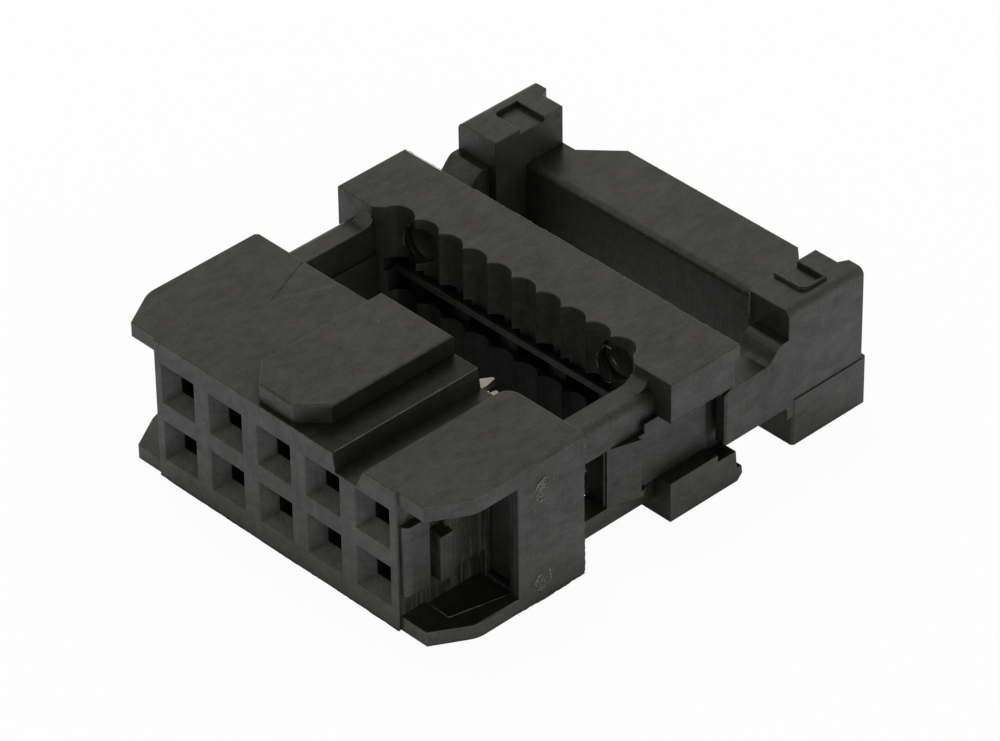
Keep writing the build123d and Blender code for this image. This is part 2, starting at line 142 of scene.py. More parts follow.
LEFT_CUP = (-5.08, 1.85)
RIGHT_CUP = (5.08, 1.85)
CUP_MIDDLES = (LEFT_CUP, LEFT_CUP, RIGHT_CUP, RIGHT_CUP)
CUP_RADIUS = 0.8
CUP_SHADE_DEPTH = 11.92
CUP_GLINT = (
    (4.47, 12.25, 1.58),
    (4.56, 12.26, 1.46),
    (4.66, 12.26, 1.37),
    (4.74, 12.26, 1.31),
    (4.87, 12.26, 1.24),
)

# Arcs of a gate mark's torn rings: share of its radius, degrees from the rear up, and share of the height
UPPER_RINGS = (
    (1.0, 75, 275, 1.0),
    (0.86, 95, 260, 1.0),
    (0.7, 80, 270, 0.6),
    (0.5, 0, 360, 0.6),
    (0.3, 0, 360, 0.6),
    (0.12, 0, 360, 0.5),
    (1.1, 20, 60, 0.5),
)
LOWER_RINGS = (
    (1.0, 120, 330, 0.5),
    (0.8, 100, 360, 0.6),
    (0.55, 0, 360, 0.6),
    (0.34, 0, 360, 0.6),
    (0.14, 0, 360, 0.5),
    (1.05, -30, 70, 0.3),
)
# Gate marks on the end wall: place along it, place up it and radius in millimetres, and the rings
GATES = (
    (4.93, 1.8, 0.41, UPPER_RINGS),
    (4.86, -2.23, 0.36, LOWER_RINGS),
)

# How torn and pale each kind of mark is, how its ridges sink and stray, and the shine that two of them keep;
# the glint's paleness is a painted highlight, the flash's paleness also paints the highlight along the pocket
# rim, and the low shine kept by the rim and the cups is painted shade
GATE_TORN = 1.6
BURR_TORN = 1.0
GLINT_HIGHLIGHT = 2.2
FLASH_AND_HIGHLIGHT_PALE = 0.16
RIM_TORN = 0.05
TORN_PALE = 0.45
TORN_GRAIN = 6.0
SUNK_FOOT = 0.3
RIM_HIGHLIGHT_UP = 0.9
ARC_STEP = 9
STRAY_KEPT = 0.7
STRAY_STEP = 0.12
RIM_SHADE_SHINE = 0.4
CUP_SHADE_SHINE = 0.2

# Seeds of the single ridges
GLINT_SEED = 5
RIM_SEED = 7
RIB_SEED = 8
RIM_HIGHLIGHT_SEED = 9

# Patterns, in cells per metre
LINE_SCALE = 9000.0
MOTTLE_FINE = 16000.0
MOTTLE_MIDDLE = 4200.0
MOTTLE_WIDE = 520.0
SHEEN_FINE = 15000.0
SHEEN_MIDDLE = 2600.0
SHEEN_WIDE = 330.0
SPECK_SCALE = 3800.0
SPECK_WARP_SCALE = 5200.0
STREAK_SCALE = 620.0
STREAK_FINER = 9.0
WEAR_SCALE = 2400.0
WEAR_DOTS = 12000.0
STAIN_SCALE = 1500.0

# Stretch of the patterns that run along the part, with their turn in radians
DRAW_STRETCH = (1.0, 1.0, 0.05)
SHEEN_STRETCH = (1.0, 0.45, 1.0)
SHEEN_TURN = (0.0, 0.0, 0.5)
STREAK_STRETCH = (1.0, 0.22, 1.0)
STREAK_TURN = (0.0, 0.0, 0.45)
ROLL_STRETCH = (1.0, 0.06, 1.0)

# Studio and the photo's own view, in metres, millimetres of lens and degrees
FLOOR_REACH = 1.5
LAMP_AIM = (0.0, 0.01, 0.0)
KEY_SIZE = 0.2
KEY_PLACE = (-0.12, 0.06, 0.24)
FILL_SIZE = 0.14
FILL_PLACE = (0.22, -0.04, 0.1)
SENSOR = 36.0
LENS = 211.79
CAMERA_PLACE = (124.640 * MM, -107.105 * MM, 127.011 * MM)
CAMERA_TURN = (53.3352, 0.6667, 46.0435)
NEAR_CLIP = 0.005
FAR_CLIP = 20.0

PLASTIC_NODES = ("socket_housing", "cable_cover", "strain_relief")

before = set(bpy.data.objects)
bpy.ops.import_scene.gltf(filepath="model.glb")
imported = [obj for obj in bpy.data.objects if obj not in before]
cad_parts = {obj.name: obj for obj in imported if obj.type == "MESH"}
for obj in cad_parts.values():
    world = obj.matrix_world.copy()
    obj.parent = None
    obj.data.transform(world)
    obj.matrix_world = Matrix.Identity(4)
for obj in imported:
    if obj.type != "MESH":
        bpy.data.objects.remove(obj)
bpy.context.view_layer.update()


# Settings

def length_property(name, description, default):
    """A length in metres with the add-on's usual limits."""
    return bpy.props.FloatProperty(
        name=name, description=description, default=default, unit="LENGTH", subtype="DISTANCE", precision=6
    )


def colour_property(name, description, default):
    """A linear colour."""
    return bpy.props.FloatVectorProperty(
        name=name, description=description, default=default, subtype="COLOR", size=3, min=0, max=1
    )


def share_property(name, description, default):
    """A share from nought to one."""
    return bpy.props.FloatProperty(
        name=name, description=description, default=default, subtype="FACTOR", min=0, max=1
    )


class PlasticSettings(bpy.types.PropertyGroup):
    """Moulded black plastic."""

    colour: colour_property("Colour", "Body colour of the plastic", (0.0035, 0.0035, 0.0034))
    # The pale colour also paints a highlight on outer edges and light in the end recesses.
    pale: colour_property("Pale specks", "Colour of glass specks and stressed edges", (0.16, 0.16, 0.15))
    # Also the colour of the painted glint and of the painted highlight along the pocket rim.
    stressed: colour_property("Stressed", "Colour of torn and stressed plastic", (0.42, 0.41, 0.38))
    roughness: share_property("Roughness", "Roughness of the moulded skin", 0.29)
    roughness_change: share_property("Roughness change", "Change of roughness over patches", 0.05)
    grain_size: length_property("Grain size", "Size of the moulded grain", 0.055 * MM)
    grain_depth: length_property("Grain depth", "Depth of the moulded grain", 0.0035 * MM)
    mottle: share_property("Mottle", "Strength of the fine pale mottling", 0.085)
    top_shine: share_property("Top shine", "Shine of the level faces", 0.435)
    side_shine: share_property("Side shine", "Shine of the upright faces", 0.7)
    sheen_grain: share_property("Sheen grain", "Change of shine from grain to grain", 1.0)
    sheen_patches: share_property("Sheen patches", "Change of shine over broad patches", 0.55)
    side_roughness: share_property("Side roughness", "Roughness that upright sides have on top", 0.24)
    line_sheen: share_property("Line sheen", "Change of shine across the draw lines", 0.4)
    hollow_shade: share_property("Hollow shade", "Shine lost in hollow places", 0.6)
    wave_shade: share_property("Wave shade", "Shine lost on the cover's lower waves", 0.65)
    strip_shade: share_property("Strip shade", "Shine lost on the strip beside the key", 0.6)
    # Partly painted highlight: pales the outer edges where the light would catch them.
    edge_wear_and_highlight: share_property("Wear", "Paleness of worn edges", 0.35)
    rub: share_property("Rub", "Paleness of the flow streaks", 0.05)
    specks: share_property("Specks", "Paleness of the specks", 0.3)
    # Partly painted light: the pale dust lightens the shaded walls of the end recesses.
    line_dust_and_light: share_property("Line paleness", "Pale dust along the draw lines in the end recesses", 0.36)
    hollow_reach: length_property("Hollow reach", "How near walls make a place count as deep", 2.5 * MM)
    line_depth: length_property("Draw line depth", "Depth of the draw lines on the sides", 0.0025 * MM)
    ripple_size: length_property("Ripple size", "Size of the slow ripples in the skin", 0.9 * MM)
    ripple_depth: length_property("Ripple depth", "Depth of the slow ripples", 0.005 * MM)
    edge_radius: length_property("Edge radius", "Rounding that the light shows on sharp edges", 0.075 * MM)


class ContactSettings(bpy.types.PropertyGroup):
    """Tinned contacts."""

    colour: colour_property("Colour", "Colour of the tin", (0.4, 0.38, 0.33))
    roughness: share_property("Roughness", "Roughness of the tin", 0.36)
    line_size: length_property("Line size", "Width of the rolling lines", 0.03 * MM)
    line_depth: length_property("Line depth", "Depth of the rolling lines", 0.002 * MM)
    stain: share_property("Stain", "Strength of the duller patches", 0.35)
    stain_tone: share_property("Stain tone", "Brightness of the duller patches beside the tin", 0.55)


class MarkSettings(bpy.types.PropertyGroup):
    """Gate marks, torn cups with their painted shade and glint, flash, and the rim and rib of the right
    block, the rim with painted shade and a painted highlight.
    """

    gate_height: length_property("Gate height", "Height of the torn rim", 0.06 * MM)
    gate_width: length_property("Gate width", "Width of the torn rim", 0.035 * MM)
    cup_height: length_property("Cup burr height", "Height of the torn edge of a cup", 0.06 * MM)
    cup_width: length_property("Cup burr width", "Width of the torn edge of a cup", 0.05 * MM)
    flash_height: length_property("Flash height", "Height of the slivers of flash", 0.05 * MM)
    flash_width: length_property("Flash width", "Width of the slivers of flash", 0.05 * MM)
    rim_height: length_property("Rim height", "Height of the upstanding rim of the right pocket", 0.16 * MM)
    rim_width: length_property("Rim width", "Width of the upstanding rim", 0.06 * MM)
    # The line along the rim is a painted highlight.
    rim_highlight_height: length_property("Rim edge height", "Height of the line along the rim", 0.02 * MM)
    rim_highlight_width: length_property("Rim edge width", "Width of the line along the rim", 0.04 * MM)
    rib_size: length_property("Rib size", "Height and width of the rib on the right block", 0.1 * MM)
    # The faint line and its bright middle are a painted glint in the right cup.
    glint_height: length_property("Glint height", "Height of the faint line in the right cup", 0.02 * MM)
    glint_width: length_property("Glint width", "Width of the faint line in the right cup", 0.03 * MM)
    spark_height: length_property("Spark height", "Height of the bright middle of that line", 0.04 * MM)
    spark_width: length_property("Spark width", "Width of the bright middle of that line", 0.06 * MM)


class StudioSettings(bpy.types.PropertyGroup):
    """Camera, lamps and surroundings."""

    white: share_property("White", "Level of the surroundings that the camera and reflections see", 1.0)
    sky: colour_property("Sky", "Colour of the surroundings above the floor", (0.88, 0.86, 0.78))
    ambient: share_property("Ambient", "Level of the surroundings for soft light", 0.42)
    floor: colour_property("Floor", "Colour of the floor", (0.9, 0.9, 0.9))
    floor_glow: share_property("Floor glow", "Share of plain white in the floor that is seen", 0.95)
    shade_reach: length_property("Shade reach", "How near the part the floor's reflection darkens", 6.0 * MM)
    key_power: bpy.props.FloatProperty(
        name="Key power", description="Power of the large lamp", default=0.34, unit="POWER", min=0
    )
    fill_power: bpy.props.FloatProperty(
        name="Fill power", description="Power of the side lamp", default=0.12, unit="POWER", min=0
    )


# Shader helpers

class Tree:
    """Short words for building a node tree."""

    def __init__(self, tree):
        self.nodes = tree.nodes
        self.links = tree.links

    def add(self, kind, inputs=None, **values):
        """A new node with plain values set and sockets linked or filled."""
        node = self.nodes.new(kind)
        for key, value in values.items():
            setattr(node, key, value)
        for key, value in (inputs or {}).items():
            if isinstance(value, bpy.types.NodeSocket):
                self.links.new(value, node.inputs[key])
            else:
                node.inputs[key].default_value = value
        return node

    def place(self):
        """Where the shaded point lies on its object."""
        return self.add("ShaderNodeTexCoord").outputs["Object"]

    def math(self, operation, first, second=0.0, clamp=False):
        """One sum on numbers."""
        terms = {0: first, 1: second}
        return self.add("ShaderNodeMath", terms, operation=operation, use_clamp=clamp).outputs[0]

    def spread(self, value, low, high, to_low=0.0, to_high=1.0):
        """A smooth step from one range to another."""
        places = {"Value": value, "From Min": low, "From Max": high, "To Min": to_low, "To Max": to_high}
        return self.add("ShaderNodeMapRange", places, interpolation_type="SMOOTHSTEP").outputs["Result"]

    def dimmed(self, value, mask, amount):
        """A value that loses an amount where a mask is one."""
        loss = self.math("MULTIPLY", mask, amount)
        return self.math("MULTIPLY", value, self.math("SUBTRACT", 1.0, loss))

    def noise(self, place, scale, detail=2.0, roughness=0.5):
        """Noise at a place, as a number about one half."""
        values = {"Vector": place, "Scale": scale, "Detail": detail, "Roughness": roughness}
        return self.add("ShaderNodeTexNoise", values).outputs[0]


def new_group(name, inputs, outputs):
    """An empty node group with its sockets."""
    group = bpy.data.node_groups.new(name, "ShaderNodeTree")
    for label, kind, default in inputs:
        socket = group.interface.new_socket(name=label, in_out="INPUT", socket_type=kind)
        if default is not None:
            socket.default_value = default
    for label, kind in outputs:
        group.interface.new_socket(name=label, in_out="OUTPUT", socket_type=kind)
    tree = Tree(group)
    entry = tree.add("NodeGroupInput")
    end = tree.add("NodeGroupOutput")
    return group, tree, entry.outputs, end.inputs


def grain_group(name):
    """Fine moulded grain over slow ripples, as a height, with a slow patch mask."""
    inputs = [
        ("Grain scale", "NodeSocketFloat", 18000.0),
        ("Grain depth", "NodeSocketFloat", 0.0),
        ("Ripple scale", "NodeSocketFloat", 1000.0),
        ("Ripple depth", "NodeSocketFloat", 0.0),
    ]
    outputs = [("Height", "NodeSocketFloat"), ("Patches", "NodeSocketFloat")]
    group, tree, given, result = new_group(name, inputs, outputs)
    place = tree.place()
    grain = tree.noise(place, given["Grain scale"], 3.0, 0.6)
    ripple = tree.noise(place, given["Ripple scale"], 2.0, 0.45)
    fine = tree.math("MULTIPLY", grain, given["Grain depth"])
    slow = tree.math("MULTIPLY", ripple, given["Ripple depth"])
    tree.links.new(tree.math("ADD", fine, slow), result["Height"])
    tree.links.new(tree.spread(ripple, 0.35, 0.65), result["Patches"])
    return group


def line_group(name):
    """Upright draw lines on the sides of the moulding, as a height and as a number about nought."""
    inputs = [("Depth", "NodeSocketFloat", 0.000002)]
    outputs = [("Height", "NodeSocketFloat"), ("Upright", "NodeSocketFloat"), ("Lines", "NodeSocketFloat")]
    group, tree, given, result = new_group(name, inputs, outputs)
    place = tree.place()
    tall = tree.add("ShaderNodeMapping", {"Vector": place, "Scale": DRAW_STRETCH}).outputs[0]
    lines = tree.noise(tall, LINE_SCALE, 2.0, 0.6)
    normal = tree.add("ShaderNodeNewGeometry").outputs["True Normal"]
    upward = tree.add("ShaderNodeSeparateXYZ", {"Vector": normal}).outputs[2]
    level = tree.math("SUBTRACT", 1.0, tree.math("ABSOLUTE", upward))
    mask = tree.math("MULTIPLY", lines, level)
    tree.links.new(tree.math("MULTIPLY", mask, given["Depth"]), result["Height"])
    tree.links.new(level, result["Upright"])
    tree.links.new(tree.math("MULTIPLY", tree.math("SUBTRACT", lines, 0.5), level), result["Lines"])
    return group


def mottle_group(name):
    """Fine pale mottling between grain and patches, as a mask."""
    inputs = [("Amount", "NodeSocketFloat", 0.05)]
    group, tree, given, result = new_group(name, inputs, [("Mask", "NodeSocketFloat")])
    place = tree.place()
    fine = tree.spread(tree.noise(place, MOTTLE_FINE, 2.0, 0.7), 0.36, 0.66)
    middle = tree.spread(tree.noise(place, MOTTLE_MIDDLE, 3.0, 0.6), 0.34, 0.68)
    wide = tree.spread(tree.noise(place, MOTTLE_WIDE, 3.0, 0.6), 0.3, 0.7)
    both = tree.math("MULTIPLY", fine, tree.spread(middle, 0.0, 1.0, 0.45, 1.0))
    both = tree.math("MULTIPLY", both, tree.spread(wide, 0.0, 1.0, 0.65, 1.0))
    tree.links.new(tree.math("MULTIPLY", both, given["Amount"]), result["Mask"])
    return group


def sheen_group(name):
    """How strongly the skin shines from place to place, as a factor about one."""
    inputs = [("Grain", "NodeSocketFloat", 0.2), ("Patches", "NodeSocketFloat", 0.2)]
    group, tree, given, result = new_group(name, inputs, [("Factor", "NodeSocketFloat")])
    place = tree.place()
    lay = {"Vector": place, "Rotation": SHEEN_TURN, "Scale": SHEEN_STRETCH}
    turned = tree.add("ShaderNodeMapping", lay).outputs[0]
    fine = tree.math("SUBTRACT", tree.noise(turned, SHEEN_FINE, 3.0, 0.75), 0.5)
    middle = tree.math("SUBTRACT", tree.noise(turned, SHEEN_MIDDLE, 3.0, 0.6), 0.5)
    wide = tree.math("SUBTRACT", tree.noise(place, SHEEN_WIDE, 3.0, 0.5), 0.5)
    small = tree.math("MULTIPLY", tree.math("ADD", fine, middle), given["Grain"])
    large = tree.math("MULTIPLY", wide, given["Patches"])
    factor = tree.math("ADD", 1.0, tree.math("ADD", small, large))
    tree.links.new(factor, result["Factor"])
    return group


def speck_group(name):
    """Sparse pale specks of glass fibre and dust, as a mask."""
    inputs = [("Cell scale", "NodeSocketFloat", 2200.0), ("Amount", "NodeSocketFloat", 0.5)]
    group, tree, given, result = new_group(name, inputs, [("Mask", "NodeSocketFloat")])
    place = tree.place()
    pattern = {"Vector": place, "Scale": SPECK_WARP_SCALE, "Detail": 2.0}
    warp = tree.add("ShaderNodeTexNoise", pattern).outputs["Color"]
    offset = tree.add("ShaderNodeVectorMath", {0: warp, 3: 0.22 * MM}, operation="SCALE").outputs[0]
    moved = tree.add("ShaderNodeVectorMath", {0: place, 1: offset}, operation="ADD").outputs[0]
    cells = tree.add("ShaderNodeTexVoronoi", {"Vector": moved, "Scale": given["Cell scale"]}, feature="F1")
    chance = tree.add("ShaderNodeSeparateColor", {"Color": cells.outputs["Color"]}).outputs[0]
    size = tree.spread(chance, 0.8, 1.0, 0.0, 0.13)
    dot = tree.math("LESS_THAN", cells.outputs["Distance"], size)
    tree.links.new(tree.math("MULTIPLY", dot, given["Amount"]), result["Mask"])
    return group


def streak_group(name):
    """Faint flow streaks and rubs along the moulding, as a mask."""
    inputs = [("Scale", "NodeSocketFloat", 900.0)]
    group, tree, given, result = new_group(name, inputs, [("Mask", "NodeSocketFloat")])
    place = tree.place()
    lay = {"Vector": place, "Rotation": STREAK_TURN, "Scale": STREAK_STRETCH}
    turned = tree.add("ShaderNodeMapping", lay).outputs[0]
    wide = tree.noise(turned, given["Scale"], 3.0, 0.55)
    fine_scale = tree.math("MULTIPLY", given["Scale"], STREAK_FINER)
    fine = tree.noise(turned, fine_scale, 2.0, 0.6)
    both = tree.math("MULTIPLY", tree.spread(wide, 0.5, 0.72), tree.spread(fine, 0.42, 0.66))
    tree.links.new(both, result["Mask"])
    return group


def edge_group(name):
    """Outer edges as a mask, with a normal that is rounded there and plain in corners."""
    inputs = [("Radius", "NodeSocketFloat", 0.00005)]
    outputs = [("Mask", "NodeSocketFloat"), ("Normal", "NodeSocketVector")]
    group, tree, given, result = new_group(name, inputs, outputs)
    bevel = tree.add("ShaderNodeBevel", {"Radius": given["Radius"]}, samples=6).outputs[0]
    true_normal = tree.add("ShaderNodeNewGeometry").outputs["True Normal"]
    both = {0: bevel, 1: true_normal}
    agree = tree.add("ShaderNodeVectorMath", both, operation="DOT_PRODUCT").outputs["Value"]
    turned = tree.spread(agree, 0.985, 0.8, 0.0, 1.0)
    reach = tree.math("MULTIPLY", given["Radius"], 2.5)
    near = tree.add("ShaderNodeAmbientOcclusion", {"Distance": reach}, samples=4, only_local=True)
    outer = tree.spread(near.outputs["AO"], 0.75, 0.95)
    tree.links.new(tree.math("MULTIPLY", turned, outer), result["Mask"])
    normals = {"Factor": outer, 4: true_normal, 5: bevel}
    mixed = tree.add("ShaderNodeMix", normals, data_type="VECTOR").outputs[1]
    tree.links.new(mixed, result["Normal"])
    return group


def place_group(name):
    """Masks of hollow places, the end recesses, the lower waves and the strip beside the key."""
    inputs = [("Reach", "NodeSocketFloat", 0.0025)]
    outputs = [(label, "NodeSocketFloat") for label in ("Hollow", "Recess", "Low waves", "Beside key")]
    group, tree, given, result = new_group(name, inputs, outputs)
    near = tree.add("ShaderNodeAmbientOcclusion", {"Distance": given["Reach"]}, samples=4, only_local=True)
    tree.links.new(tree.spread(near.outputs["AO"], 0.88, 0.35), result["Hollow"])
    place = tree.place()
    across, along, up = tree.add("ShaderNodeSeparateXYZ", {"Vector": place}).outputs
    recess = tree.spread(tree.math("ABSOLUTE", across), (CORE_HALF - RECESS_FADE) * MM, CORE_HALF * MM)
    tree.links.new(recess, result["Recess"])
    facing = tree.spread(along, (WAVE_BACK + WAVE_FADE) * MM, WAVE_BACK * MM)
    facing = tree.math("MULTIPLY", tree.math("SUBTRACT", 1.0, recess), facing)
    low = tree.math("MULTIPLY", facing, tree.spread(up, LOW_WAVES_FROM * MM, LOW_WAVES_TO * MM))
    tree.links.new(low, result["Low waves"])
    from_key = tree.spread(across, (KEY_HALF - STRIP_FADE) * MM, KEY_HALF * MM)
    to_groove = tree.spread(across, (GROOVE_LEFT + STRIP_FADE) * MM, (GROOVE_LEFT - STRIP_FADE) * MM)
    near_top = tree.spread(up, (TOP - STRIP_DEEP) * MM, (TOP - STRIP_FULL) * MM)
    strip = tree.math("MULTIPLY", tree.math("MULTIPLY", from_key, to_groove), near_top)
    tree.links.new(strip, result["Beside key"])
    return group


def group_node(tree, name, build, inputs):
    """A node that uses a group, which is built the first time."""
    group = bpy.data.node_groups.get(name) or build(name)
    return tree.add("ShaderNodeGroup", inputs, node_tree=group)


def new_material(name):
    """A material with an empty tree and its output."""
    material = bpy.data.materials.get(name) or bpy.data.materials.new(name)
    material.use_nodes = True
    material.node_tree.nodes.clear()
    tree = Tree(material.node_tree)
    return material, tree, tree.add("ShaderNodeOutputMaterial")


def pale_share(tree, look, torn, drawn, places, edges, dust_and_painted_light):
    """How far the plastic turns pale: worn edges with a painted highlight, streaks, specks, mottling, tears,
    and dust with painted light in the end recesses.
    """
    specks = group_node(tree, "Pale specks", speck_group, {"Cell scale": SPECK_SCALE, "Amount": look.specks})
    streaks = group_node(tree, "Flow streaks", streak_group, {"Scale": STREAK_SCALE})
    mottled = group_node(tree, "Mottling", mottle_group, {"Amount": look.mottle})
    place = tree.place()
    # Pale outer edges: wear, and partly a painted highlight along them.
    broken = tree.spread(tree.noise(place, WEAR_SCALE, 3.0, 0.6), 0.45, 0.65)
    dotted = tree.spread(tree.noise(place, WEAR_DOTS, 2.0, 0.7), 0.48, 0.6)
    worn = tree.math("MULTIPLY", edges.outputs["Mask"], tree.math("MULTIPLY", broken, dotted))
    worn = tree.math("MULTIPLY", worn, look.edge_wear_and_highlight)
    rubbed = tree.math("MULTIPLY", streaks.outputs["Mask"], look.rub)
    pale = tree.math("MAXIMUM", tree.math("MAXIMUM", worn, rubbed), specks.outputs["Mask"])
    pale = tree.math("ADD", pale, mottled.outputs["Mask"])
    pale = tree.math("ADD", pale, TORN_PALE * torn, clamp=True)
    # Pale dust and painted light: lighter along the draw lines in hollow places of the end recesses.
    lines = tree.spread(drawn.outputs["Lines"], -0.02, 0.1)
    dust = tree.math("MULTIPLY", lines, places.outputs["Hollow"])
    dust = tree.math("MULTIPLY", dust, places.outputs["Recess"])
    dust = tree.math("MULTIPLY", dust, look.line_dust_and_light * dust_and_painted_light)
    return tree.math("ADD", pale, dust, clamp=True)


def skin_shine(tree, look, drawn, places, shine_share, sunk, dust_and_painted_light, wave_shade):
    """How strongly the skin shines: by its slope and grain, and less in hollow and shaded places."""
    amounts = {"Grain": look.sheen_grain, "Patches": look.sheen_patches}
    sheen = group_node(tree, "Skin sheen", sheen_group, amounts)
    top = look.top_shine * shine_share
    side = look.side_shine * shine_share
    by_side = tree.spread(drawn.outputs["Upright"], 0.0, 1.0, top, side)
    drawn_share = tree.math("MULTIPLY", drawn.outputs["Lines"], look.line_sheen)
    shine = tree.math("MULTIPLY", tree.math("ADD", sheen.outputs["Factor"], drawn_share), by_side)
    hollow = tree.dimmed(places.outputs["Hollow"], places.outputs["Recess"], dust_and_painted_light)
    shine = tree.dimmed(shine, hollow, sunk)
    shine = tree.dimmed(shine, places.outputs["Low waves"], wave_shade)
    return tree.dimmed(shine, places.outputs["Beside key"], look.strip_shade * dust_and_painted_light)


def plastic_material(name, look, torn=0.0, shine_share=1.0, sunk=0.0, dust_and_painted_light=0.0, wave_shade=0.0):
    """Glass-filled black plastic with grain, specks, streaks, lit edges and pale worn edges with a painted
    highlight; dust_and_painted_light is one on the housing, for recess dust with painted light and painted
    shade beside the key.
    """
    material, tree, end = new_material(name)
    sizes = {
        "Grain scale": 1 / look.grain_size,
        "Grain depth": look.grain_depth * (1 + TORN_GRAIN * torn),
        "Ripple scale": 1 / look.ripple_size,
        "Ripple depth": look.ripple_depth,
    }
    grain = group_node(tree, "Moulded grain", grain_group, sizes)
    drawn = group_node(tree, "Draw lines", line_group, {"Depth": look.line_depth})
    edges = group_node(tree, "Sharp edges", edge_group, {"Radius": look.edge_radius})
    places = group_node(tree, "Places", place_group, {"Reach": look.hollow_reach})
    pale = pale_share(tree, look, torn, drawn, places, edges, dust_and_painted_light)
    light = look.stressed if torn else look.pale
    colour = tree.add(
        "ShaderNodeMix",
        {"Factor": pale, "A": (*look.colour, 1.0), "B": (*light, 1.0)},
        data_type="RGBA",
    )
    roughest = look.roughness + look.roughness_change
    rough = tree.spread(grain.outputs["Patches"], 0.0, 1.0, look.roughness, roughest)
    rough = tree.math("ADD", rough, tree.math("MULTIPLY", drawn.outputs["Upright"], look.side_roughness))
    shine = skin_shine(tree, look, drawn, places, shine_share, sunk, dust_and_painted_light, wave_shade)
    height = tree.math("ADD", grain.outputs["Height"], drawn.outputs["Height"])
    bump = tree.add(
        "ShaderNodeBump",
        {"Strength": 1.0, "Distance": 1.0, "Height": height, "Normal": edges.outputs["Normal"]},
    )
    shader = tree.add(
        "ShaderNodeBsdfPrincipled",
        {
            "Base Color": colour.outputs[2],
            "Roughness": rough,
            "IOR": 1.5,
            "Specular IOR Level": shine,
            "Normal": bump.outputs[0],
        },
    )
    tree.links.new(shader.outputs[0], end.inputs["Surface"])
    return material


def tin_material(name, look):
    """Tin plate with faint rolling lines."""
    material, tree, end = new_material(name)
    place = tree.place()
    along = tree.add("ShaderNodeMapping", {"Vector": place, "Scale": ROLL_STRETCH}).outputs[0]
    lines = tree.noise(along, 1 / look.line_size, 2.0, 0.5)
    stain = tree.spread(tree.noise(place, STAIN_SCALE, 3.0, 0.6), 0.4, 0.7, 0.0, look.stain)
    tint = (*[share * look.stain_tone for share in look.colour], 1.0)
    shades = {"Factor": stain, "A": (*look.colour, 1.0), "B": tint}
    colour = tree.add("ShaderNodeMix", shades, data_type="RGBA")
    bump = tree.add("ShaderNodeBump", {"Strength": 1.0, "Distance": look.line_depth, "Height": lines})
    shader = tree.add(
        "ShaderNodeBsdfPrincipled",
        {
            "Base Color": colour.outputs[2],
            "Metallic": 1.0,
            "Roughness": look.roughness,
            "Normal": bump.outputs[0],
        },
    )
    tree.links.new(shader.outputs[0], end.inputs["Surface"])
    return material


def dress(node_name, material):
    """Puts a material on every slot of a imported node."""
    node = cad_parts[node_name]
    if not node.material_slots:
        node.data.materials.append(material)
    for slot in node.material_slots:
        slot.material = material


# Mesh helpers

def in_metres(path):
    """A path in millimetres as one in metres."""
    return [[value * MM for value in point] for point in path]


def add_mesh(name, points, faces, material):
    """A mesh object that rides on the part."""
    mesh = bpy.data.meshes.new(name)
    mesh.from_pydata([tuple(p) for p in points], [], faces)
    mesh.update()
    thing = bpy.data.objects.new(name, mesh)
    bpy.context.scene.collection.objects.link(thing)
    mesh.materials.append(material)
    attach(thing, "root")
    return thing


def torn_arc(centre, radius, start, end, seed):
    """Points of an uneven arc on a wall that faces +X, in metres."""
    chance = random.Random(seed)
    steps = max(4, round(abs(end - start) / ARC_STEP))
    points = []
    stray = 0.0
    for k in range(steps + 1):
        angle = math.radians(start + (end - start) * k / steps)
        stray = STRAY_KEPT * stray + chance.uniform(-STRAY_STEP, STRAY_STEP)
        reach = radius * (1 + stray)
        points.append(centre + Vector((0.0, reach * math.cos(angle), reach * math.sin(angle))))
    return points


def cup_shade_strip(name, path, middle, material):
    """A dark strip of painted shade between a torn edge and the mouth of its cup; lengths in millimetres."""
    points = []
    for across, _, up in path:
        away = Vector((across - middle[0], up - middle[1])).normalized() * CUP_RADIUS
        points.append(Vector((across, CUP_SHADE_DEPTH, up)) * MM)
        points.append(Vector((middle[0] + away.x, CUP_SHADE_DEPTH, middle[1] + away.y)) * MM)
    faces = [(2 * k, 2 * k + 1, 2 * k + 3, 2 * k + 2) for k in range(len(path) - 1)]
    return add_mesh(name, points, faces, material)


def pocket_rim():
    """Front and outer edges of the right pocket with its round corner, in metres."""
    inner_x = POCKET_OUTER - POCKET_CORNER
    inner_y = POCKET_FRONT + POCKET_CORNER
    steps = 6
    points = [(RIM_START, POCKET_FRONT, TOP)]
    for k in range(steps + 1):
        angle = math.pi / 2 * k / steps
        across = inner_x + POCKET_CORNER * math.sin(angle)
        along = inner_y - POCKET_CORNER * math.cos(angle)
        points.append((across, along, TOP))
    points.append((POCKET_OUTER, POCKET_BACK, TOP))
    return in_metres(points)


def sliver(name, path, out, height, width, seed, material, ragged=0.3, least=0.05, step=0.07):
    """A thin ragged ridge along a path in metres; out is its way up, step its spacing in millimetres."""
    chance = random.Random(seed)
    rise = Vector(out).normalized()
    spots = []
    for start, end in zip(path, path[1:]):
        start, end = Vector(start), Vector(end)
        steps = max(1, round((end - start).length / (step * MM)))
        spots += [start.lerp(end, k / steps) for k in range(steps)]
    spots.append(Vector(path[-1]))
    points = []
    faces = []
    crest = max(least, 0.4)
    foot = rise * height * SUNK_FOOT
    for k, spot in enumerate(spots):
        ahead = spots[min(k + 1, len(spots) - 1)] - spots[max(k - 1, 0)]
        across = ahead.cross(rise).normalized() * width / 2
        crest = min(1.0, max(least, crest + chance.uniform(-ragged, ragged)))
        points.append(spot - across - foot)
        points.append(spot + rise * height * crest + across * chance.uniform(-0.5, 0.5))
        points.append(spot + across - foot)
    for k in range(len(spots) - 1):
        a, b = 3 * k, 3 * k + 3
        faces += [(a, a + 1, b + 1, b), (a + 1, a + 2, b + 2, b + 1)]
    return add_mesh(name, points, faces, material)


# Operators

